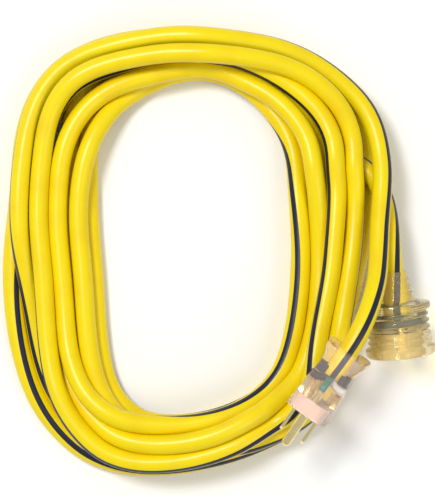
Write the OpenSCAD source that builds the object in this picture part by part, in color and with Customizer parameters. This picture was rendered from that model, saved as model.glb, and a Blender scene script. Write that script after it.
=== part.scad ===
// Heavy-duty extension cord: a striped three-core cable wound in an oval coil,
// with a clear moulded plug at one end and a clear ribbed connector at the other.
// Millimetres, +Z up. The coil lies on Z = 0 and the origin is under its middle.

/* [Cable] */
// Outer diameter of the cable's jacket
cable_d = 10; // [9.4:0.1:10.4]
// Outer diameter of one insulated wire inside the jacket
wire_d = 3; // [2.8:0.1:3]

/* [Coil] */
// Height of the coil along its two long sides
side_h = 20; // [19:0.5:21]
// Height of the coil at its two rounded ends
end_h = 28.5; // [27:0.5:30]

/* [Plug] */
// Distance between the two flat blades
blade_gap = 12.7; // [12.6:0.1:12.8]
// Length of a blade in front of the face
blade_l = 16; // [15.9:0.1:18.2]
// Height of a blade
blade_h = 6.35; // [6.2:0.05:6.5]
// Thickness of a blade
blade_t = 1.5; // [1.4:0.1:1.6]
// Diameter of the round ground pin
pin_d = 4.76; // [4.7:0.02:4.82]
// Length of the ground pin in front of the face
pin_l = 19.2; // [19:0.1:21.5]
// Height of the ground pin's axis above the blades' middle
pin_up = 11.9; // [11.8:0.05:12]
// Length of the moulded plug from its back lip to its face
plug_l = 37; // [36:0.5:40]

/* [Connector] */
// Length of the moulded connector from its cable end to its face
conn_l = 43; // [43:0.5:46]
// Radius of the front flange
flange_r = 17.8; // [17.4:0.1:18]
// Radius of the round ground hole
ground_hole_r = 2.6; // [2.55:0.05:2.7]

/* [Hidden] */

$fn = 48;
cable_r = cable_d / 2;
wire_r = wire_d / 2;
blade_z = -4;
pin_z = blade_z + pin_up;

// Outer and inner edge of the coil seen from above, anticlockwise from the right.
outer_edge = [
    [79, 0], [82, 50], [75, 80], [43, 104], [-9, 115.4], [-48, 113], [-84, 102], [-103, 74],
    [-108.5, 24], [-111.7, -20], [-105, -61], [-87, -92], [-59, -110], [-21, -115.2],
    [17, -108], [48, -91], [65, -52]
];
inner_edge = [
    [38, 0], [34, 49], [28, 63], [14, 78], [-8, 86.5], [-30, 81], [-52, 67], [-60, 47],
    [-62, 19], [-59, -12], [-56, -52], [-50, -74], [-36, -88], [-15, -86],
    [12, -78], [33, -62], [36, -38]
];
coil_steps = 4;

// Section of the coil's outer shape: share of the band from its outer edge, share of its height.
coil_section = [
    [0.12, 0], [0.88, 0], [1, 0.22], [1, 0.62], [0.86, 0.92],
    [0.62, 1], [0.38, 1], [0.14, 0.92], [0, 0.62], [0, 0.22]
];

// Free route of the cable from the plug's tail to where it joins the coil's top.
plug_at = [45, -83, 39];
plug_turn = [6, 14, 236];
plug_route = [
    [65.1, -53.2, 48], [69, -47, 48.8], [73, -39, 47.2], [76.5, -30, 43.5], [79.5, -20, 38.5],
    [82, -9, 33.5], [84, 3, 29.5], [85.5, 16, 26.5], [86, 30, 25.4], [85.5, 44, 25.2],
    [83, 58, 25], [77, 72, 23.5], [69, 84, 20]
];
// Free route from the connector's tail to where it joins the coil's outer side.
connector_at = [93.8, -55.5, 17.9];
connector_turn = [0, 7, -84];
connector_route = [
    [89.3, -13.1, 23.1], [88.6, -5, 23.6], [88.2, 4, 22.4], [88, 14, 18.8], [87.4, 24, 14.6],
    [85.4, 34, 11.2], [81, 45, 9]
];

// Smooth closed or open curves through a list of points.
function spline(a, b, c, d, t) =
    ((2 * b) + (c - a) * t + (2 * a - 5 * b + 4 * c - d) * t * t
    + (3 * b - a - 3 * c + d) * t * t * t) / 2;
function at(list, i) = list[(i + len(list)) % len(list)];
function clamped(list, i) = list[max(0, min(len(list) - 1, i))];
function closed_curve(list, steps) = [
    for (i = [0 : len(list) - 1]) for (k = [0 : steps - 1])
        spline(at(list, i - 1), list[i], at(list, i + 1), at(list, i + 2), k / steps)
];
function open_curve(list, steps) = [
    for (i = [0 : len(list) - 2]) for (k = [0 : steps - 1])
        spline(clamped(list, i - 1), list[i], list[i + 1], clamped(list, i + 2), k / steps),
    list[len(list) - 1]
];
function unit(v) = v / norm(v);
function ease(t) = let (c = max(0, min(1, t))) c * c * (3 - 2 * c);
function coil_height(y) = side_h + (end_h - side_h) * ease((abs(y) - 35) / 40);

// A round tube swept along a curve, ring by ring.
module tube(path, r, sides) {
    n = len(path);
    points = [
        for (i = [0 : n - 1])
            let (
                along = unit(clamped(path, i + 1) - clamped(path, i - 1)),
                side = unit(cross(along, [0, 0, 1])),
                up = cross(side, along)
            )
            for (k = [0 : sides - 1])
                path[i] + r * (cos(360 * k / sides) * side + sin(360 * k / sides) * up)
    ];
    walls = [
        for (i = [0 : n - 2]) for (k = [0 : sides - 1])
            let (m = (k + 1) % sides)
            [i * sides + k, (i + 1) * sides + k, (i + 1) * sides + m, i * sides + m]
    ];
    start_cap = [for (k = [0 : sides - 1]) k];
    end_cap = [for (k = [sides - 1 : -1 : 0]) (n - 1) * sides + k];
    polyhedron(points, concat([start_cap, end_cap], walls), convexity = 6);
}

// A cylinder along X.
module along_x(x0, x1, r) {
    translate([x0, 0, 0]) rotate([0, 90, 0]) cylinder(r = r, h = x1 - x0);
}

// A slanting round rod from a to b, its ends cut square to X.
module cut_rod(a, b, r) {
    d = b - a;
    extra = 3 * r;
    intersection() {
        translate(a - extra * unit(d))
            rotate([0, acos(d[2] / norm(d)), atan2(d[1], d[0])])
                cylinder(r = r, h = norm(d) + 2 * extra);
        translate([a[0], -20, -20]) cube([d[0], 40, 40]);
    }
}

module place_plug() {
    translate(plug_at) rotate(plug_turn) children();
}

module place_connector() {
    translate(connector_at) rotate(connector_turn) children();
}

// ---- Cable ----

module cable_coil() {
    outer = closed_curve(outer_edge, coil_steps);
    inner = closed_curve(inner_edge, coil_steps);
    n = len(outer);
    s = len(coil_section);
    points = [
        for (i = [0 : n - 1]) for (q = coil_section)
            let (p = outer[i] * (1 - q[0]) + inner[i] * q[0])
            [p[0], p[1], q[1] * coil_height((outer[i][1] + inner[i][1]) / 2)]
    ];
    walls = [
        for (i = [0 : n - 1]) for (k = [0 : s - 1])
            let (j = (i + 1) % n, m = (k + 1) % s)
            [i * s + k, i * s + m, j * s + m, j * s + k]
    ];
    color("gold") polyhedron(points, walls, convexity = 10);
}

module cable_plug_lead() {
    color("yellow") tube(open_curve(plug_route, 2), cable_r, 12);
}

module cable_connector_lead() {
    color("yellow") tube(open_curve(connector_route, 2), cable_r, 12);
}

// ---- Plug: X runs out of its face, Z towards the ground pin ----

bridge_l = 8;
crimp_l = 6;
crimp_r = 2.1;
shank_r = 1.9;
shank_out = 0.5;
plug_wire_x = -bridge_l - crimp_l - 1;
clip_back = -26;
clip_front = -21;
clip_front_gap = -bridge_l - clip_front;

function corner(x, y, r, a0, a1) = [
    for (k = [0 : 6]) [x + r * cos(a0 + (a1 - a0) * k / 6), y + r * sin(a0 + (a1 - a0) * k / 6)]
];

// Outline of the face: wide at the blades, round over the ground pin.
module plug_front() {
    polygon(concat(
        corner(9.2, -6.5, 3, -90, 0),
        corner(5.2, 6.2, 6, 0, 90),
        corner(-5.2, 6.2, 6, 90, 180),
        corner(-9.2, -6.5, 3, 180, 270)
    ));
}

// Outline from above: a taper to the neck, then the flared back lip.
module plug_top() {
    polygon([
        [0, -12.2], [0, 12.2], [-27, 9.8], [-30, 10.2], [-34.5, 12], [-36.4, 12.2], [-plug_l, 11.4],
        [-plug_l, -11.4], [-36.4, -12.2], [-34.5, -12], [-30, -10.2], [-27, -9.8]
    ]);
}

// Outline from the side.
module plug_side() {
    polygon([
        [0, -9.5], [0, 12.2], [-27, 10], [-30, 10.2], [-34.5, 11.6], [-36.4, 11.8], [-plug_l, 11],
        [-plug_l, -8.8], [-36.4, -9.5], [-34.5, -9.2], [-30, -8.2], [-27, -7.8]
    ]);
}

module bridge_block() {
    translate([-bridge_l, 0, 0]) rotate([90, 0, 90])
        linear_extrude(bridge_l)
            polygon(concat(
                corner(7.7, -6, 2, -90, 0),
                corner(4.2, 5.9, 4.4, 0, 90),
                corner(-4.2, 5.9, 4.4, 90, 180),
                corner(-7.7, -6, 2, 180, 270)
            ));
}

module blade(y) {
    difference() {
        translate([-bridge_l, y - blade_t / 2, blade_z - blade_h / 2])
            cube([bridge_l + blade_l, blade_t, blade_h]);
        translate([blade_l - 3.2, y, blade_z]) rotate([90, 0, 0])
            cylinder(r = 1.55, h = 3 * blade_t, center = true);
        for (s = [-1, 1]) {
            translate([blade_l, y, blade_z + s * blade_h / 2]) rotate([0, 45, 0])
                cube([2, 3 * blade_t, 2], center = true);
        }
    }
    translate([0, y, blade_z]) along_x(-bridge_l - crimp_l, -bridge_l, crimp_r);
}

module ground_pin() {
    translate([0, 0, pin_z]) {
        along_x(-bridge_l, shank_out, shank_r);
        along_x(shank_out, pin_l - pin_d / 2, pin_d / 2);
        translate([pin_l - pin_d / 2, 0, 0]) sphere(d = pin_d);
        along_x(-bridge_l - crimp_l, -bridge_l, crimp_r);
    }
}

// Ends of the three wires, where the crimps hold them.
plug_ends = [[0, -blade_gap / 2, blade_z], [0, blade_gap / 2, blade_z], [0, 0, pin_z]];
wire_starts = [[0, -2.3, -1.3], [0, 2.3, -1.3], [0, 0, 2.6]];

module plug_wire(i) {
    cut_rod(wire_starts[i] + [clip_front, 0, 0], plug_ends[i] + [plug_wire_x, 0, 0], wire_r);
}

module plug_strand_ends() {
    for (p = plug_ends) {
        translate([0, p[1], p[2]]) along_x(plug_wire_x, plug_wire_x + 1, 1.2);
    }
}

module clip_block() {
    translate([clip_back, -8.6, -6.4]) cube([clip_front - clip_back, 17.2, 12.8]);
}

// Space that the crimps and the three bent wires take up.
module wire_space() {
    translate([clip_front - 1, -8.6, -6.4]) cube([1 + clip_front_gap, 17.2, 16.2]);
}

module plug_body() {
    color([0.90, 0.80, 0.75, 0.45]) place_plug()
        difference() {
            intersection() {
                translate([-plug_l, 0, 0]) rotate([90, 0, 90]) linear_extrude(plug_l) plug_front();
                translate([0, 0, -20]) linear_extrude(40) plug_top();
                translate([0, 20, 0]) rotate([90, 0, 0]) linear_extrude(40) plug_side();
            }
            bridge_block();
            wire_space();
            clip_block();
            along_x(-plug_l - 1, clip_back + 1, cable_r);
        }
}

module plug_bridge() {
    color([0.92, 0.80, 0.72]) place_plug()
        difference() {
            bridge_block();
            for (y = [-blade_gap / 2, blade_gap / 2]) {
                translate([-bridge_l - 1, y - blade_t / 2, blade_z - blade_h / 2])
                    cube([bridge_l + 2, blade_t, blade_h]);
            }
            translate([0, 0, pin_z]) along_x(-bridge_l - 1, 1, shank_r);
        }
}

module plug_line_blade() {
    color("goldenrod") place_plug() blade(-blade_gap / 2);
}

module plug_neutral_blade() {
    color("goldenrod") place_plug() blade(blade_gap / 2);
}

module plug_ground_pin() {
    color("goldenrod") place_plug() ground_pin();
}

module plug_line_wire() {
    color([0.08, 0.08, 0.08]) place_plug() plug_wire(0);
}

module plug_neutral_wire() {
    color("white") place_plug() plug_wire(1);
}

module plug_ground_wire() {
    color("seagreen") place_plug() plug_wire(2);
}

module plug_strands() {
    color([0.75, 0.45, 0.25]) place_plug() plug_strand_ends();
}

module plug_cord_clip() {
    color([0.12, 0.12, 0.13]) place_plug()
        difference() {
            clip_block();
            along_x(clip_back - 1, clip_front + 1, cable_r);
        }
}

module plug_jacket_end() {
    color("yellow") place_plug() along_x(-plug_l, clip_front, cable_r);
}

// ---- Connector: X runs out of its face, Z towards the ground hole ----

insert_r = 12.6;
insert_l = 12.5;
insert_wall = 3;
conn_crimp_x = -14.5;
conn_wire_x = -15.5;
conn_clip_back = -20;
conn_clip_front = -16;
clip_space_r = 13.6;
rib_pitch = 3.3;
rib_n = 5;
rib_start = 6.2;

// Half outline of the moulding: radius against distance behind the face.
conn_profile = concat(
    [[0, 0], [16.4, 0], [flange_r, 1.4], [flange_r, 4.6], [16.4, 5.6]],
    [for (i = [0 : rib_n - 1]) each [
        [15.2 - 0.16 * i, rib_start + i * rib_pitch],
        [16.3 - 0.16 * i, rib_start + i * rib_pitch + 0.9],
        [16.3 - 0.16 * i, rib_start + i * rib_pitch + 1.9],
        [15.2 - 0.16 * i, rib_start + i * rib_pitch + 2.8]
    ]],
    [[14.6, 23], [16.9, 23.6], [17.1, 25], [16.8, 26.8], [11, 28], [9.4, 29]],
    [for (i = [0 : 3]) each [
        [9.2 - 0.68 * i, 30 + 3.2 * i], [8.5 - 0.68 * i, 30.5 + 3.2 * i],
        [8.3 - 0.68 * i, 31.5 + 3.2 * i], [8.9 - 0.68 * i, 32 + 3.2 * i]
    ]],
    [[6.5, conn_l], [0, conn_l]]
);

module conn_outside() {
    rotate([0, -90, 0]) rotate_extrude() polygon(conn_profile);
}

module slot_box(x0, x1, y, w, h) {
    translate([x0, y - w / 2, blade_z - h / 2]) cube([x1 - x0, w, h]);
}

// A folded spring contact with its crimp, gripping a blade between two leaves.
module blade_contact(y) {
    difference() {
        slot_box(-insert_l, -insert_wall - 0.6, y, 3.2, 7);
        slot_box(-insert_l + 1.2, -insert_wall + 1, y, 1.4, 8);
    }
    translate([0, y, blade_z]) along_x(conn_crimp_x, -insert_l, 1.9);
}

module round_contact() {
    translate([0, 0, pin_z]) {
        difference() {
            along_x(-insert_l, -insert_wall - 0.6, 3.2);
            along_x(-insert_l + 1.2, -insert_wall + 1, 2.45);
            translate([-insert_l + 1.2, -0.4, -4]) cube([insert_l, 0.8, 4]);
        }
        along_x(conn_crimp_x, -insert_l, 1.9);
    }
}

module conn_wire(i) {
    cut_rod(wire_starts[i] + [conn_clip_back, 0, 0], plug_ends[i] + [conn_wire_x, 0, 0], wire_r);
}

module conn_strand_ends() {
    for (p = plug_ends) {
        translate([0, p[1], p[2]]) along_x(conn_wire_x, conn_crimp_x, 1.2);
    }
}

// A flat frame that the three wires pass through.
module conn_clip_frame() {
    difference() {
        translate([conn_clip_back, -10, -7]) cube([conn_clip_front - conn_clip_back, 20, 18]);
        translate([conn_clip_back - 1, -8.2, -5.8])
            cube([conn_clip_front - conn_clip_back + 2, 16.4, 15.6]);
    }
}

module connector_body() {
    color([0.80, 0.70, 0.50, 0.45]) place_connector()
        difference() {
            conn_outside();
            along_x(-insert_l, 1, insert_r);
            along_x(conn_clip_back, -insert_l + 1, clip_space_r);
            along_x(-conn_l - 1, conn_clip_back + 1, cable_r);
        }
}

module connector_face_insert() {
    color([0.78, 0.70, 0.58]) place_connector()
        difference() {
            along_x(-insert_l, 0, insert_r);
            for (y = [-blade_gap / 2, blade_gap / 2]) {
                slot_box(-insert_wall - 1, 1, y, 2.2, 7);
                slot_box(-insert_l - 1, -insert_wall, y, 3.4, 7.2);
            }
            translate([0, 0, pin_z]) {
                along_x(-insert_wall - 1, 1, ground_hole_r);
                along_x(-insert_l - 1, -insert_wall, 3.3);
            }
        }
}

module connector_line_contact() {
    color("goldenrod") place_connector() blade_contact(-blade_gap / 2);
}

module connector_neutral_contact() {
    color("goldenrod") place_connector() blade_contact(blade_gap / 2);
}

module connector_ground_contact() {
    color("goldenrod") place_connector() round_contact();
}

module connector_line_wire() {
    color([0.08, 0.08, 0.08]) place_connector() conn_wire(0);
}

module connector_neutral_wire() {
    color("white") place_connector() conn_wire(1);
}

module connector_ground_wire() {
    color("seagreen") place_connector() conn_wire(2);
}

module connector_strands() {
    color([0.75, 0.45, 0.25]) place_connector() conn_strand_ends();
}

module connector_cord_clip() {
    color([0.15, 0.19, 0.24]) place_connector() conn_clip_frame();
}

module connector_jacket_end() {
    color("yellow") place_connector() along_x(-conn_l, conn_clip_back, cable_r);
}

cable_coil();
cable_plug_lead();
cable_connector_lead();
plug_body();
plug_bridge();
plug_line_blade();
plug_neutral_blade();
plug_ground_pin();
plug_line_wire();
plug_neutral_wire();
plug_ground_wire();
plug_strands();
plug_cord_clip();
plug_jacket_end();
connector_body();
connector_face_insert();
connector_line_contact();
connector_neutral_contact();
connector_ground_contact();
connector_line_wire();
connector_neutral_wire();
connector_ground_wire();
connector_strands();
connector_cord_clip();
connector_jacket_end();
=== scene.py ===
import math

import bmesh
import bpy
import numpy as np
from mathutils import Matrix, Vector


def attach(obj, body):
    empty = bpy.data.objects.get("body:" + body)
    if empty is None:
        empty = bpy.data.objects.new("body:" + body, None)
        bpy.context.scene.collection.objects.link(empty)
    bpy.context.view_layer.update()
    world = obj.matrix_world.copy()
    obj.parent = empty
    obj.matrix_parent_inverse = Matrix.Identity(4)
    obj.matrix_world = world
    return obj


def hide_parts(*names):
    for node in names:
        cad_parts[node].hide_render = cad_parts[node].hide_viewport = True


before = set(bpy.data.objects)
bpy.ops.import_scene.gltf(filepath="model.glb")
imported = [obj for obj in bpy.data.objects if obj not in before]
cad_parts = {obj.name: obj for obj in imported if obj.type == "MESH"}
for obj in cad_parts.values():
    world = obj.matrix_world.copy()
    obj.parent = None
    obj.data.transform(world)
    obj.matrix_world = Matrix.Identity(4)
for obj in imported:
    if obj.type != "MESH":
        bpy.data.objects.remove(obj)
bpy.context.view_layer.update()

MM = 0.001

# ---------------------------------------------------------------- Camera
# The cord is seen from nearly straight above, from the side that the connector's
# face points to, with a long lens, and fills the frame.
look_at = Vector((0, 0, 0.010))
camera_elevation = math.radians(87)
camera_distance = 0.90
view_height = 0.2555
lens_sensor = 36.0

camera_data = bpy.data.cameras.new("camera")
camera_data.sensor_width = lens_sensor
camera_data.lens = lens_sensor * camera_distance / view_height
camera = bpy.data.objects.new("camera", camera_data)
bpy.context.scene.collection.objects.link(camera)
camera.location = look_at + camera_distance * Vector(
    (0, -math.cos(camera_elevation), math.sin(camera_elevation))
)
camera.rotation_euler = (math.pi / 2 - camera_elevation, 0, 0)
bpy.context.scene.camera = camera

# ---------------------------------------------------------------- Cable
# One length of round three-core cord with a navy stripe run into its yellow jacket.
# It leaves the plug, lies anticlockwise in eight turns, five lanes wide on the long
# sides, and turns back under the last corner to come out at the connector.
cable_d = 10.0 * MM
cable_r = cable_d / 2
layer_rise = 0.87 * cable_d
turn_count = 8
ring_step = 4.0 * MM
outer_squeeze = 0.972
inner_stretch = 1.03

# The oval that the coil fills, outer and inner edge, anticlockwise from the right.
outer_edge = [
    (79, 0), (82, 50), (75, 80), (43, 104), (-9, 115.4), (-48, 113), (-84, 102), (-103, 74),
    (-108.5, 24), (-111.7, -20), (-105, -61), (-87, -92), (-59, -110), (-21, -115.2),
    (17, -108), (48, -91), (65, -52),
]
inner_edge = [
    (38, 0), (34, 49), (28, 63), (14, 78), (-8, 86.5), (-30, 81), (-52, 67), (-60, 47),
    (-62, 19), (-59, -12), (-56, -52), (-50, -74), (-36, -88), (-15, -86),
    (12, -78), (33, -62), (36, -38),
]

# The two free ends of the cable, along the CAD model's routes.
plug_route = [
    (65.1, -53.2, 48), (69, -47, 48.8), (73, -39, 47.2), (76.5, -30, 43.5), (79.5, -20, 38.5),
    (82, -9, 33.5), (84, 3, 29.5), (85.5, 16, 26.5), (86, 30, 25.4), (85.5, 44, 25.2),
    (83, 58, 25), (77, 72, 23.5),
]
connector_route = [
    (89.3, -13.1, 23.1), (88.6, -5, 23.6), (88.2, 4, 22.4), (88, 14, 18.8), (87.4, 24, 14.6),
]
plug_inside = 15 * MM
connector_inside = 22 * MM

# How the plug and the connector lie. The X of each points out of its face.
plug_frame = (
    Matrix.Translation(Vector((45, -83, 39)) * MM)
    @ Matrix.Rotation(math.radians(236), 4, "Z")
    @ Matrix.Rotation(math.radians(14), 4, "Y")
    @ Matrix.Rotation(math.radians(6), 4, "X")
)
connector_frame = (
    Matrix.Translation(Vector((93.8, -55.5, 17.9)) * MM)
    @ Matrix.Rotation(math.radians(-84), 4, "Z")
    @ Matrix.Rotation(math.radians(7), 4, "Y")
)
plug_face = np.array(plug_frame.translation)
plug_axis = np.array(plug_frame.col[0].xyz)
plug_side = np.array(plug_frame.col[1].xyz)
plug_up = np.array(plug_frame.col[2].xyz)
connector_axis = np.array(connector_frame.col[0].xyz)

# Lane and layer of each turn where it passes eight stations: two at the right, upper
# right, top, left, lower left, bottom and lower right. A lane runs from 0 at the outer
# edge to 1 at the inner.
joins_at = 2.6
coil_points = 1400
station_at = [0, 0.9, 2.2, 4, 8.0, 9.4, 13.2, 15.5]
turn_lanes = [
    [(0, 2), (0, 2), (0, 1.9), (0.1, 1.9), (0.09, 1.0), (0.28, 0.9), (0.06, 1.1), (0.03, 1.0)],
    [(0.1, 1.1), (0.07, 1.1), (0.2, 2), (0.38, 2.3), (0.28, 1.5), (0.42, 1.5), (0.3, 1.9), (0.74, 2.1)],
    [(0.56, 1.9), (0.36, 1.3), (0.45, 1.9), (0.7, 2.0), (0.31, 0.4), (0.52, 0.4), (0.6, 2.1), (0.4, 1.0)],
    [(0.66, 1.2), (0.64, 2.0), (0.75, 2.0), (0.95, 1.1), (0.55, 1.0), (0.66, 1.1), (1.0, 1.7), (1.0, 1.3)],
    [(0.95, 1), (0.93, 1), (1.0, 1.0), (1.0, 0.1), (0.82, 1.0), (0.88, 1.0), (0.8, 0.9), (0.25, 0.6)],
    [(0.0, 0), (0.0, 0), (0.1, 1), (0.0, 0.9), (0.0, 0.1), (0.0, 0.1), (0.0, 0.1), (0.0, 0.1)],
    [(0.33, 0), (0.33, 0), (0.4, 1), (0.1, 0), (0.64, 0), (0.75, 0), (0.4, 0), (0.36, 0)],
    [(0.66, 0.3), (0.66, 1.1), (0.75, 1.2), (0.5, 0.1), (1.0, 0), (1.0, 0), (0.8, 0), (0.8, 0)],
    [(1.0, 0)],
]
# Which way the stripe faces at ten places of each turn, in degrees from straight up
# towards the outside of the coil. It turns quickest where other turns cover it.
facing_at = [0, 2.2, 4, 6.5, 8, 8.8, 11, 13.2, 14.3, 15.5]
turn_facing = [
    [5, 62, 95, 92, 80, 55, 30, 40, 60, 80],
    [80, 80, 85, 90, 90, 85, 62, 60, 30, -42],
    [-55, -72, -66, -50, -68, -85, -120, -180, -200, -220],
    [-230, -250, -260, -270, -270, -265, -180, -70, -50, -25],
    [-20, -100, -160, -180, -180, -180, -180, -180, -180, -175],
    [-170, -160, -150, -110, -70, -35, 5, 50, 60, 90],
    [100, 120, 140, 160, 180, 180, 180, 190, 200, 200],
    [200, 200, 200, 200, 200, 200, 230, 260, 290, 300],
    [330],
]


def catmull(a, b, c, d, t):
    """A point between b and c on the smooth curve through four points."""
    return 0.5 * (
        2 * b + (c - a) * t + (2 * a - 5 * b + 4 * c - d) * t**2 + (3 * b - a - 3 * c + d) * t**3
    )


def along_open(points, count):
    """Points evenly spaced by number along a smooth open curve."""
    points = np.array(points, float)
    padded = np.vstack([2 * points[0] - points[1], points, 2 * points[-1] - points[-2]])
    out = []
    for place in np.linspace(0, len(points) - 1, count):
        i = min(int(place), len(points) - 2)
        out.append(catmull(*padded[i : i + 4], place - i))
    return np.array(out)


def along_closed(points, place):
    """The point at a place, counted in points, on a smooth closed curve."""
    points = np.array(points, float)
    n = len(points)
    i = math.floor(place)
    around = [points[(i + k) % n] for k in (-1, 0, 1, 2)]
    return catmull(*around, place - i)


def evenly(points, step):
    """The same line with its points one step apart."""
    steps = np.diff(points[:, :3], axis=0)
    lengths = np.r_[0, np.cumsum(np.linalg.norm(steps, axis=1))]
    count = int(round(lengths[-1] / step)) + 1
    at = np.linspace(0, lengths[-1], count)
    columns = range(points.shape[1])
    return np.stack([np.interp(at, lengths, points[:, k]) for k in columns], axis=1)


def smoothed(points, passes):
    """The same points, each drawn halfway to its neighbours' middle. The ends stay."""
    for _ in range(passes):
        points[1:-1] = points[1:-1] * 0.5 + (points[:-2] + points[2:]) * 0.25
    return points


def in_coil(place, lane, layer):
    """A point of the coil, the way inward there, and its room to each edge of the band."""
    outer = along_closed(outer_edge, place) * MM
    inner = along_closed(inner_edge, place) * MM
    outer[1] *= outer_squeeze
    inner[1] *= inner_stretch
    width = np.linalg.norm(inner - outer)
    share = cable_r / width + lane * (1 - cable_d / width)
    spot = outer + (inner - outer) * share
    inward = (inner - outer) / width
    room = width - cable_d
    height = cable_r + layer * layer_rise
    return [spot[0], spot[1], height, inward[0], inward[1], lane * room, (1 - lane) * room]


def coil_line():
    """The turns, from where the plug's end joins them to the start of the turn back."""
    places, lanes, layers = [], [], []
    for turn, row in enumerate(turn_lanes):
        for station, (lane, layer) in zip(station_at, row):
            places.append(turn * len(outer_edge) + station)
            lanes.append(lane)
            layers.append(layer)
    every = np.linspace(joins_at, turn_count * len(outer_edge), coil_points)
    faced_at = [turn * len(outer_edge) + p for turn in range(len(turn_facing)) for p in facing_at]
    angles = [angle for row in turn_facing for angle in row]
    facing = np.interp(every, faced_at[: len(angles)], angles)
    eased = []
    for place in every:
        i = min(max(int(np.searchsorted(places, place)) - 1, 0), len(places) - 2)
        t = min(1, max(0, (place - places[i]) / (places[i + 1] - places[i])))
        eased.append((i, t * t * (3 - 2 * t)))
    points = [
        in_coil(
            place,
            lanes[i] + (lanes[i + 1] - lanes[i]) * t,
            layers[i] + (layers[i + 1] - layers[i]) * t,
        )
        for place, (i, t) in zip(every, eased)
    ]
    return np.column_stack([points, facing])


def faced(points, start, end):
    """The same points, outside the band, with the stripe's facing even from start to end."""
    facing = np.linspace(start, end, len(points))
    return np.column_stack([points, np.zeros((len(points), 4)), facing])


# The turn back: up the inner lane, round under the corner, down the outer lane.
turn_back = [
    (43.6, 7, 5), (45.2, 19, 5), (48.5, 31, 5), (53, 42, 5), (62.5, 47.5, 5), (72, 46, 5.5),
    (80, 38, 7), (85.5, 29, 10),
]
plug_end = np.array(plug_route) * MM
connector_end = np.array(connector_route) * MM
inside_plug = plug_end[0] + plug_axis * plug_inside
inside_connector = connector_end[0] + connector_axis * connector_inside
plug_part = np.vstack([inside_plug, (inside_plug + plug_end[0]) / 2, plug_end])
connector_part = np.vstack(
    [connector_end[::-1], (inside_connector + connector_end[0]) / 2, inside_connector]
)
line = np.vstack(
    [
        faced(along_open(plug_part, 90), 0, 60),
        coil_line(),
        faced(along_open(np.array(turn_back) * MM, 40), 330, 290),
        faced(along_open(connector_part, 60), 290, 370),
    ]
)
line = smoothed(evenly(line, ring_step), 12)
line = evenly(line, ring_step)
line, inward, room, facing = np.split(line, [3, 5, 7], axis=1)

# How the turns settle. Rings near each other along the cable never push each other, and
# those inside the plug and the connector are held still, freed over the next few.
settling_rounds = 300
sinking_share = 0.7
calm_rounds = 12
same_stretch = 8
held_rings = 14
freed_over = 10
touching = cable_d * 1.004
push_share = 0.9
longest_push = 0.8 * MM
first_sinking = 0.05 * MM
last_sinking = 0.01 * MM
bend_easing = 0.35
nearly_nothing = 1e-9

# The room that the connector's moulding takes: its neck, then its wide ribbed part.
connector_length = 43 * MM
neck_r = 7 * MM
wider_by = 10.5 * MM
neck_share = 0.25
widening_share = 0.15
before_connector = 0.9

# The room that the plug takes: from its back to its prongs' tips, and to each side.
plug_under = 9.6 * MM
plug_half_width = 12.3 * MM
plug_back = -42 * MM
prong_tips = 24 * MM
plug_reach = 16 * MM
plug_lead_rings = 45


def off_turns(now, other_stretch):
    """How far each ring is pushed off the turns that it touches."""
    delta = now[:, None, :] - now[None, :, :]
    distance = np.sqrt((delta**2).sum(axis=2)) + nearly_nothing
    near = (distance < touching) & other_stretch
    push = np.where(near, (touching - distance) / distance, 0)
    crowd = np.maximum(near.sum(axis=1, keepdims=True), 1)
    shift = (push[:, :, None] * delta).sum(axis=1) * push_share / crowd
    return np.clip(shift, -longest_push, longest_push)


def off_connector(now, index):
    """How far each ring is pushed out of the connector's round moulding."""
    along = connector_axis * connector_length
    t = np.clip(((now - connector_end[0]) @ along) / (along @ along), 0, 1)[:, None]
    off = now - (connector_end[0] + t * along)
    far = np.linalg.norm(off, axis=1, keepdims=True) + nearly_nothing
    widened = np.clip((t - neck_share) / widening_share, 0, 1)
    clear = cable_r + neck_r + wider_by * widened
    inside = (far < clear) & (index[:, None] < len(now) * before_connector)
    return np.where(inside, off / far * (clear - far) * 0.5, 0)


def off_plug(now, index):
    """How far each ring is pushed down from under the plug."""
    from_face = now - plug_face
    forward = from_face @ plug_axis
    sideways = np.abs(from_face @ plug_side)
    rise = from_face @ plug_up + plug_under + cable_r
    below = (index > plug_lead_rings) & (forward > plug_back) & (forward < prong_tips)
    below &= (sideways < plug_half_width + cable_r) & (rise > 0) & (rise < plug_reach)
    return -np.where(below, rise * 0.5, 0)[:, None] * plug_up


def settle(line, rounds):
    """Push touching turns one diameter apart, let them sink, and keep the bends smooth."""
    drawn = line.copy()
    moved = np.zeros_like(line)
    index = np.arange(len(line))
    other_stretch = np.abs(index[:, None] - index[None, :]) > same_stretch
    from_end = np.minimum(index, len(line) - 1 - index)
    free = np.clip((from_end - held_rings) / freed_over, 0, 1)[:, None]
    for step in range(rounds):
        now = drawn + moved
        moved += off_turns(now, other_stretch) * free
        moved[:, 2] -= (first_sinking if step < rounds * sinking_share else last_sinking) * free[:, 0]
        moved += off_connector(now, index) * free
        moved += off_plug(now, index) * free
        side = (moved[:, :2] * inward).sum(axis=1)
        excess = side - np.clip(side, -room[:, 0], room[:, 1])
        moved[:, :2] -= excess[:, None] * inward
        low = (drawn + moved)[:, 2] < cable_r
        moved[low, 2] = cable_r - drawn[low, 2]
        if step < rounds - calm_rounds:
            for _ in range(2):
                middle = (moved[:-2] + moved[2:]) / 2
                moved[1:-1] += (middle - moved[1:-1]) * bend_easing * free[1:-1]
    return drawn + moved


line = smoothed(settle(line, settling_rounds), 2)
line[:, 2] = np.maximum(line[:, 2], cable_r)
line, facing = np.split(evenly(np.column_stack([line, facing]), ring_step), [3], axis=1)

cable_sides = 24
uv_per_metre = 10


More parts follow.
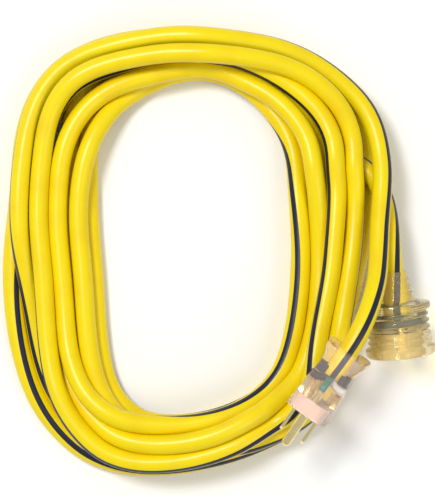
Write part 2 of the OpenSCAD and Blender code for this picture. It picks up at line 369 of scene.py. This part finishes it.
def sweep(name, path, radius, sides, turn):
    """A closed round tube along a path, with a UV map whose middle line is the stripe."""
    count = len(path)
    ahead = np.gradient(path, axis=0)
    ahead /= np.linalg.norm(ahead, axis=1, keepdims=True)
    outward = np.cross(ahead, [0, 0, 1.0])
    outward /= np.linalg.norm(outward, axis=1, keepdims=True)
    upward = np.cross(outward, ahead)
    angles = np.linspace(0, 2 * math.pi, sides, endpoint=False)
    verts = []
    for i in range(count):
        around = angles + math.pi + math.radians(turn[i])
        ring = path[i] + radius * (
            np.sin(around)[:, None] * outward[i] + np.cos(around)[:, None] * upward[i]
        )
        verts.extend(ring.tolist())
    faces, corners = [], []
    for i in range(count - 1):
        for k in range(sides):
            m = (k + 1) % sides
            faces.append((i * sides + k, (i + 1) * sides + k, (i + 1) * sides + m, i * sides + m))
            u0, u1 = k / sides, (k + 1) / sides
            v0, v1 = i * ring_step * uv_per_metre, (i + 1) * ring_step * uv_per_metre
            corners.extend([(u0, v0), (u0, v1), (u1, v1), (u1, v0)])
    faces.append(tuple(range(sides)))
    faces.append(tuple(range((count - 1) * sides, count * sides))[::-1])
    corners.extend([(0.1, 0)] * (2 * sides))
    mesh = bpy.data.meshes.new(name)
    mesh.from_pydata(verts, [], faces)
    uv = mesh.uv_layers.new(name="UVMap")
    for loop, corner in zip(uv.data, corners):
        loop.uv = corner
    mesh.shade_smooth()
    piece = bpy.data.objects.new(name, mesh)
    bpy.context.scene.collection.objects.link(piece)
    shape = bmesh.new()
    shape.from_mesh(mesh)
    bmesh.ops.recalc_face_normals(shape, faces=shape.faces)
    shape.to_mesh(mesh)
    shape.free()
    return piece


cable = sweep("cable", line, cable_r, cable_sides, facing[:, 0].tolist())


def new_material(name):
    """An empty material with one shader, and that shader."""
    material = bpy.data.materials.new(name)
    material.use_nodes = True
    nodes = material.node_tree.nodes
    nodes.clear()
    output = nodes.new("ShaderNodeOutputMaterial")
    shader = nodes.new("ShaderNodeBsdfPrincipled")
    material.node_tree.links.new(shader.outputs["BSDF"], output.inputs["Surface"])
    return material, shader


def node(material, kind, **settings):
    """A new node in a material, with its settings."""
    made = material.node_tree.nodes.new(kind)
    for key, value in settings.items():
        setattr(made, key, value)
    return made


def link(material, start, end):
    """Join two sockets of a material."""
    material.node_tree.links.new(start, end)


# One shader group for every material but the floor's: cloudy colour, uneven gloss and a fine grain.
mottled = bpy.data.node_groups.new("mottled", "ShaderNodeTree")
for socket, kind in [
    ("Colour", "NodeSocketColor"), ("Shade", "NodeSocketColor"), ("Scale", "NodeSocketFloat"),
    ("Gloss", "NodeSocketFloat"), ("Grain", "NodeSocketFloat"),
]:
    mottled.interface.new_socket(socket, in_out="INPUT", socket_type=kind)
for socket, kind in [
    ("Colour", "NodeSocketColor"), ("Roughness", "NodeSocketFloat"), ("Normal", "NodeSocketVector"),
]:
    mottled.interface.new_socket(socket, in_out="OUTPUT", socket_type=kind)
group_in = mottled.nodes.new("NodeGroupInput")
group_out = mottled.nodes.new("NodeGroupOutput")
group_place = mottled.nodes.new("ShaderNodeTexCoord")
cloud = mottled.nodes.new("ShaderNodeTexNoise")
cloud.inputs["Detail"].default_value = 5
mottled.links.new(group_place.outputs["Object"], cloud.inputs["Vector"])
mottled.links.new(group_in.outputs["Scale"], cloud.inputs["Scale"])
cloud_share = mottled.nodes.new("ShaderNodeMapRange")
cloud_share.inputs["From Min"].default_value = 0.45
cloud_share.inputs["From Max"].default_value = 0.75
mottled.links.new(cloud.outputs["Fac"], cloud_share.inputs["Value"])
cloudy = mottled.nodes.new("ShaderNodeMix")
cloudy.data_type = "RGBA"
mottled.links.new(cloud_share.outputs[0], cloudy.inputs["Factor"])
mottled.links.new(group_in.outputs["Colour"], cloudy.inputs["A"])
mottled.links.new(group_in.outputs["Shade"], cloudy.inputs["B"])
mottled.links.new(cloudy.outputs["Result"], group_out.inputs["Colour"])
uneven = mottled.nodes.new("ShaderNodeMath")
uneven.operation = "MULTIPLY_ADD"
uneven.inputs[1].default_value = 0.12
mottled.links.new(cloud.outputs["Fac"], uneven.inputs[0])
mottled.links.new(group_in.outputs["Gloss"], uneven.inputs[2])
mottled.links.new(uneven.outputs[0], group_out.inputs["Roughness"])
grain = mottled.nodes.new("ShaderNodeTexNoise")
grain.inputs["Scale"].default_value = 900
mottled.links.new(group_place.outputs["Object"], grain.inputs["Vector"])
grain_bump = mottled.nodes.new("ShaderNodeBump")
grain_bump.inputs["Distance"].default_value = 0.0004
mottled.links.new(grain.outputs["Fac"], grain_bump.inputs["Height"])
mottled.links.new(group_in.outputs["Grain"], grain_bump.inputs["Strength"])
mottled.links.new(grain_bump.outputs["Normal"], group_out.inputs["Normal"])


def mottled_node(material, colour, shade, scale, gloss, grain_strength):
    """The mottled group in a material, set to two colours, a scale, a gloss and a grain."""
    made = node(material, "ShaderNodeGroup", node_tree=mottled)
    made.inputs["Colour"].default_value = colour
    made.inputs["Shade"].default_value = shade
    made.inputs["Scale"].default_value = scale
    made.inputs["Gloss"].default_value = gloss
    made.inputs["Grain"].default_value = grain_strength
    return made


def cover(material, shader, surface):
    """Give a shader the colour, gloss and grain of a mottled surface."""
    link(material, surface.outputs["Colour"], shader.inputs["Base Color"])
    link(material, surface.outputs["Roughness"], shader.inputs["Roughness"])
    link(material, surface.outputs["Normal"], shader.inputs["Normal"])


def plastic(name, colour, shade, gloss):
    """Opaque moulded plastic in two close colours."""
    material, shader = new_material(name)
    cover(material, shader, mottled_node(material, colour, shade, 80, gloss, 0.1))
    return material


jacket_yellow = (0.87, 0.68, 0.002, 1)
jacket_shade = (0.84, 0.60, 0.002, 1)
stripe_navy = (0.012, 0.016, 0.040, 1)
stripe_share = 0.095
stripe_blur = 0.004

jacket, jacket_shader = new_material("yellow_jacket_with_stripe")
jacket_uv = node(jacket, "ShaderNodeUVMap", uv_map="UVMap")
jacket_split = node(jacket, "ShaderNodeSeparateXYZ")
link(jacket, jacket_uv.outputs["UV"], jacket_split.inputs["Vector"])
from_stripe = node(jacket, "ShaderNodeMath", operation="SUBTRACT")
from_stripe.inputs[1].default_value = 0.5
link(jacket, jacket_split.outputs["X"], from_stripe.inputs[0])
either_side = node(jacket, "ShaderNodeMath", operation="ABSOLUTE")
link(jacket, from_stripe.outputs[0], either_side.inputs[0])
stripe_mask = node(jacket, "ShaderNodeMapRange", interpolation_type="SMOOTHSTEP")
stripe_mask.inputs["From Min"].default_value = stripe_share / 2 + stripe_blur
stripe_mask.inputs["From Max"].default_value = stripe_share / 2 - stripe_blur
link(jacket, either_side.outputs[0], stripe_mask.inputs["Value"])
jacket_surface = mottled_node(jacket, jacket_yellow, jacket_shade, 55, 0.26, 0.12)
striped = node(jacket, "ShaderNodeMix", data_type="RGBA")
striped.inputs["B"].default_value = stripe_navy
link(jacket, jacket_surface.outputs["Colour"], striped.inputs["A"])
link(jacket, stripe_mask.outputs[0], striped.inputs["Factor"])
link(jacket, striped.outputs["Result"], jacket_shader.inputs["Base Color"])
jacket_shader.inputs["Specular IOR Level"].default_value = 0.35
link(jacket, jacket_surface.outputs["Roughness"], jacket_shader.inputs["Roughness"])
link(jacket, jacket_surface.outputs["Normal"], jacket_shader.inputs["Normal"])
cable.data.materials.append(jacket)

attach(cable, "root")
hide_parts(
    "cable_coil", "cable_plug_lead", "cable_connector_lead",
    "plug_jacket_end", "connector_jacket_end",
)

cable_length = float(np.linalg.norm(np.diff(line, axis=0), axis=1).sum())
print("cable length", round(cable_length, 3), "top", round(float(line[:, 2].max()), 4))

# ---------------------------------------------------------------- Plug
# A clear pinkish vinyl moulding, poured round the cable's end, with a flared lip at its
# back. A pink bridge in its face holds two flat blades and the round ground pin.
sharp_edge = math.radians(38)
corner_steps = 8


def corner(x, y, radius, start):
    """Points of a quarter circle, anticlockwise from a start angle."""
    angles = [math.radians(start + 90 * k / corner_steps) for k in range(corner_steps + 1)]
    return [(x + radius * math.cos(a), y + radius * math.sin(a)) for a in angles]


def finish_piece(shape, name, frame_matrix, material, replaces):
    """Put a shape in place as a named piece that rides on the cord."""
    bmesh.ops.scale(shape, vec=(MM, MM, MM), verts=shape.verts)
    bmesh.ops.transform(shape, matrix=frame_matrix, verts=shape.verts)
    bmesh.ops.recalc_face_normals(shape, faces=shape.faces)
    mesh = bpy.data.meshes.new(name)
    shape.to_mesh(mesh)
    shape.free()
    mesh.shade_smooth()
    mesh.set_sharp_from_angle(angle=sharp_edge)
    mesh.materials.append(material)
    piece = bpy.data.objects.new(name, mesh)
    bpy.context.scene.collection.objects.link(piece)
    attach(piece, "root")
    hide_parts(*replaces)
    return piece


def drawn_on(shape, edges):
    """Extrude a ring of edges, and return the new ring's corners and edges."""
    made = bmesh.ops.extrude_edge_only(shape, edges=edges)["geom"]
    verts = [g for g in made if isinstance(g, bmesh.types.BMVert)]
    edges = [g for g in made if isinstance(g, bmesh.types.BMEdge)]
    return verts, [e for e in edges if e.verts[0] in verts and e.verts[1] in verts]


def clear_vinyl(name, tint, shadow_tint, roughness, clearness, bending):
    """Clear tinted vinyl, faintly uneven, that lets lamp light through to what it covers."""
    material, shader = new_material(name)
    cover(material, shader, mottled_node(material, tint, tint, 60, roughness, 0.08))
    shader.inputs["Transmission Weight"].default_value = clearness
    shader.inputs["IOR"].default_value = bending
    passing = node(material, "ShaderNodeBsdfTransparent")
    passing.inputs["Color"].default_value = shadow_tint
    ray = node(material, "ShaderNodeLightPath")
    either = node(material, "ShaderNodeMixShader")
    output = next(n for n in material.node_tree.nodes if n.type == "OUTPUT_MATERIAL")
    link(material, ray.outputs["Is Shadow Ray"], either.inputs[0])
    link(material, shader.outputs["BSDF"], either.inputs[1])
    link(material, passing.outputs["BSDF"], either.inputs[2])
    link(material, either.outputs[0], output.inputs["Surface"])
    return material


plug_vinyl = clear_vinyl(
    "clear_plug_vinyl", (0.90, 0.79, 0.73, 1), (0.95, 0.90, 0.87, 1), 0.0, 0.83, 1.24
)

# Sections of the moulding: distance behind the face, half width, underside, top.
plug_sections = [
    (0, 12.2, -9.5, 12.2), (9, 11.4, -9.0, 11.5), (18, 10.6, -8.4, 10.8), (26, 9.8, -7.8, 10.0),
    (29.5, 10.0, -8.0, 10.1), (32, 11.0, -8.7, 10.8), (34, 11.9, -9.2, 11.5),
    (35.6, 12.2, -9.5, 11.8), (36.6, 11.9, -9.2, 11.6), (37, 11.3, -8.8, 11.0),
]
plug_outline = (
    corner(9.2, -6.5, 3, -90) + corner(5.2, 6.2, 6, 0)
    + corner(-5.2, 6.2, 6, 90) + corner(-9.2, -6.5, 3, 180)
)
face_step = 0.6
rim_width = 0.5
pocket_wall = 1.2
pocket_narrowing = 0.93
pocket_depth = 8

shape = bmesh.new()
rim = bmesh.ops.create_circle(shape, segments=len(plug_outline), radius=1)["verts"]
for vert, (y, z) in zip(rim, plug_outline):
    vert.co = (0, y, z)
edges = shape.edges[:]
face_rim = list(rim)
for (x0, w0, b0, t0), (x1, w1, b1, t1) in zip(plug_sections, plug_sections[1:]):
    verts, edges = drawn_on(shape, edges)
    for vert in verts:
        up = (vert.co.z - b0) / (t0 - b0)
        vert.co = (-x1, vert.co.y * w1 / w0, b1 + up * (t1 - b1))
bmesh.ops.contextual_create(shape, geom=edges)
front = bmesh.ops.contextual_create(
    shape, geom=[e for e in shape.edges if e.verts[0] in face_rim and e.verts[1] in face_rim]
)["faces"]
bmesh.ops.inset_region(shape, faces=front, thickness=rim_width, depth=0)
for vert in front[0].verts:
    vert.co.x = 0.0
for vert in face_rim:
    vert.co.x = -face_step
bmesh.ops.inset_region(shape, faces=front, thickness=pocket_wall, depth=0)
for vert in front[0].verts:
    vert.co.y *= pocket_narrowing
pocket = bmesh.ops.extrude_face_region(shape, geom=front)["geom"]
bmesh.ops.delete(shape, geom=front, context="FACES")
for vert in [g for g in pocket if isinstance(g, bmesh.types.BMVert)]:
    vert.co.x = -pocket_depth
finish_piece(shape, "plug_moulding", plug_frame, plug_vinyl, ["plug_body"])

# The three wires fan out from the cord clip to the crimps.
wire_r = 1.8


def bent_wire(name, points, frame_matrix, material, replaces):
    """A round wire along a smooth curve, made by drawing a ring along it."""
    centres = [Vector(p) for p in along_open(points, 14)]
    ways = [
        centres[min(i + 1, len(centres) - 1)] - centres[max(i - 1, 0)] for i in range(len(centres))
    ]
    places = [
        Matrix.Translation(c) @ w.to_track_quat("Z", "Y").to_matrix().to_4x4()
        for c, w in zip(centres, ways)
    ]
    shape = bmesh.new()
    bmesh.ops.create_circle(shape, cap_ends=True, segments=20, radius=wire_r, matrix=places[0])
    edges = shape.edges[:]
    for before, after in zip(places, places[1:]):
        verts, edges = drawn_on(shape, edges)
        bmesh.ops.transform(shape, matrix=after @ before.inverted(), verts=verts)
    bmesh.ops.contextual_create(shape, geom=edges)
    finish_piece(shape, name, frame_matrix, material, replaces)


black_vinyl = plastic("black_insulation", (0.012, 0.012, 0.013, 1), (0.02, 0.02, 0.02, 1), 0.35)
white_vinyl = plastic("white_insulation", (0.85, 0.85, 0.82, 1), (0.75, 0.75, 0.70, 1), 0.35)
green_vinyl = plastic("green_insulation", (0.01, 0.21, 0.15, 1), (0.02, 0.28, 0.21, 1), 0.35)
insulation = [
    ("line", black_vinyl, "black_insulation"),
    ("neutral", white_vinyl, "white_insulation"),
    ("ground", green_vinyl, "green_insulation"),
]
# Where each wire leaves the jacket, and where its prong's crimp takes it.
wire_starts = [(-2.3, -1.3), (2.3, -1.3), (0, 2.6)]
wire_ends = [(-6.35, -4), (6.35, -4), (0, 7.9)]


def wire_fan(end, back, front, frame_matrix):
    """The three wires of one moulding, from the cord clip to the crimps."""
    for (pole, material, slot), (y0, z0), (y1, z1) in zip(insulation, wire_starts, wire_ends):
        lead = (front - back) * 0.3
        points = [(back, y0, z0), (back + lead, y0, z0), (front - lead, y1, z1), (front, y1, z1)]
        bent_wire(
            f"{end}_{pole}_bent_wire", points, frame_matrix, material, [f"{end}_{pole}_wire"]
        )


wire_fan("plug", -21, -15, plug_frame)


def metal(name, colour, shade, scale, gloss, grain_strength):
    """Bare metal in two close colours."""
    material, shader = new_material(name)
    cover(material, shader, mottled_node(material, colour, shade, scale, gloss, grain_strength))
    shader.inputs["Metallic"].default_value = 1
    return material


brass = metal("brass", (1.0, 0.86, 0.46, 1), (0.88, 0.70, 0.30, 1), 120, 0.18, 0.05)
copper = metal("copper", (0.80, 0.42, 0.26, 1), (0.60, 0.28, 0.16, 1), 300, 0.3, 0.2)
bridge_plastic = plastic("plug_bridge_plastic", (0.64, 0.53, 0.46, 1), (0.56, 0.46, 0.39, 1), 0.4)
clip_black = plastic("clip_black", (0.004, 0.004, 0.005, 1), (0.008, 0.008, 0.008, 1), 0.45)


def dress(names, material):
    """Give model pieces their material through their own slots."""
    for name in names:
        piece = bpy.data.objects[name]
        for slot in piece.material_slots:
            slot.material = material


dress(["plug_line_blade", "plug_neutral_blade", "plug_ground_pin"], brass)
dress(["plug_strands"], copper)
dress(["plug_bridge"], bridge_plastic)

# The cord clip is a black block with a channel that the jacket lies in.
clip_outline = [(-8.6, 3.4), (-8.6, -6.4), (8.6, -6.4), (8.6, 3.4)]
clip_back = -26
clip_length = 5
channel_r = 5.05
channel_start = 42.3
channel_sweep = 264.6
channel_steps = 16
for k in range(channel_steps + 1):
    angle = math.radians(channel_start - k * channel_sweep / channel_steps)
    clip_outline.append((channel_r * math.cos(angle), channel_r * math.sin(angle)))
shape = bmesh.new()
end_face = shape.faces.new([shape.verts.new((clip_back, y, z)) for y, z in clip_outline])
made = bmesh.ops.extrude_face_region(shape, geom=[end_face])["geom"]
moved = [g for g in made if isinstance(g, bmesh.types.BMVert)]
bmesh.ops.translate(shape, vec=(clip_length, 0, 0), verts=moved)
finish_piece(shape, "plug_clip_block", plug_frame, clip_black, ["plug_cord_clip"])

# ---------------------------------------------------------------- Connector
# A clear amber vinyl moulding with two round flanges, finger ribs between them and a
# ringed strain relief. An insert in its face holds three spring contacts.
connector_vinyl = clear_vinyl(
    "clear_connector_vinyl", (0.92, 0.81, 0.50, 1), (0.96, 0.90, 0.70, 1), 0.02, 0.84, 1.42
)

# Half outline of the moulding: distance behind the face, radius.
connector_outline = [
    (12.5, 0), (12.5, 12.7), (0, 12.7), (0, 16.4), (1.4, 17.8), (4.6, 17.8), (5.6, 16.4),
]
for i in range(5):
    start = 6.2 + 3.3 * i
    crest = 16.3 - 0.16 * i
    connector_outline += [
        (start, crest - 1.1), (start + 0.9, crest), (start + 1.9, crest), (start + 2.8, crest - 1.1)
    ]
connector_outline += [
    (23, 14.6), (23.6, 16.9), (25, 17.1), (26.8, 16.8), (28, 11), (29, 9.4),
]
for i in range(4):
    start = 30 + 3.2 * i
    crest = 9.2 - 0.68 * i
    connector_outline += [
        (start, crest), (start + 0.5, crest - 0.7), (start + 1.5, crest - 0.9), (start + 2, crest - 0.3)
    ]
connector_outline += [(43, 6.5), (43, 0)]

shape = bmesh.new()
verts = [shape.verts.new((-x, 0, r)) for x, r in connector_outline]
edges = [shape.edges.new(pair) for pair in zip(verts, verts[1:])]
bmesh.ops.spin(
    shape, geom=verts + edges, axis=(1, 0, 0), cent=(0, 0, 0), angle=2 * math.pi, steps=72,
    use_merge=True,
)
bmesh.ops.remove_doubles(shape, verts=shape.verts, dist=0.01)
bmesh.ops.recalc_face_normals(shape, faces=shape.faces)
ridges = [
    e for e in shape.edges
    if len(e.link_faces) == 2 and abs(e.verts[0].co.x - e.verts[1].co.x) < 0.01
    and e.calc_face_angle() > math.radians(20) and e.verts[0].co.yz.length > 5
]
bmesh.ops.bevel(
    shape, geom=ridges, offset=0.28, offset_type="OFFSET", segments=2, profile=0.5,
    affect="EDGES", material=-1,
)
finish_piece(
    shape, "connector_moulding", connector_frame, connector_vinyl,
    ["connector_body"],
)
wire_fan("connector", -20, -15.5, connector_frame)

insert_plastic = clear_vinyl(
    "insert_plastic", (0.88, 0.82, 0.64, 1), (0.95, 0.92, 0.80, 1), 0.1, 0.78, 1.2
)
clip_blue_grey = plastic("clip_blue_grey", (0.035, 0.055, 0.085, 1), (0.05, 0.07, 0.10, 1), 0.45)
dress(["connector_face_insert"], insert_plastic)
dress(["connector_cord_clip"], clip_blue_grey)
dress(["connector_strands"], copper)
dress(["connector_line_contact", "connector_neutral_contact", "connector_ground_contact"], brass)

# ---------------------------------------------------------------- Floor and light
# A plain pale floor, two large soft lamps and an even white surround.
floor_half_size = 3
floor_mesh = bpy.data.meshes.new("floor")
floor_shape = bmesh.new()
bmesh.ops.create_grid(floor_shape, x_segments=1, y_segments=1, size=floor_half_size)
floor_shape.to_mesh(floor_mesh)
floor_shape.free()
floor = bpy.data.objects.new("floor", floor_mesh)
bpy.context.scene.collection.objects.link(floor)
floor_material, floor_shader = new_material("pale_floor")
floor_shader.inputs["Base Color"].default_value = (0.93, 0.93, 0.93, 1)
floor_shader.inputs["Roughness"].default_value = 0.9
floor_mesh.materials.append(floor_material)


def soft_lamp(name, place, size, power):
    """A square lamp that faces the cord."""
    data = bpy.data.lights.new(name, "AREA")
    data.size = size
    data.energy = power
    lamp = bpy.data.objects.new(name, data)
    lamp.location = place
    lamp.rotation_euler = Vector(place).to_track_quat("Z", "Y").to_euler()
    bpy.context.scene.collection.objects.link(lamp)


soft_lamp("key_lamp", (-0.45, 0.35, 1.2), 0.35, 10.5)
soft_lamp("fill_lamp", (0.7, -0.5, 1.0), 0.8, 4)
world = bpy.data.worlds.new("studio")
world.use_nodes = True
world.node_tree.nodes["Background"].inputs["Color"].default_value = (1, 1, 1, 1)
world.node_tree.nodes["Background"].inputs["Strength"].default_value = 0.46
bpy.context.scene.world = world
bpy.context.scene.view_settings.view_transform = "Standard"
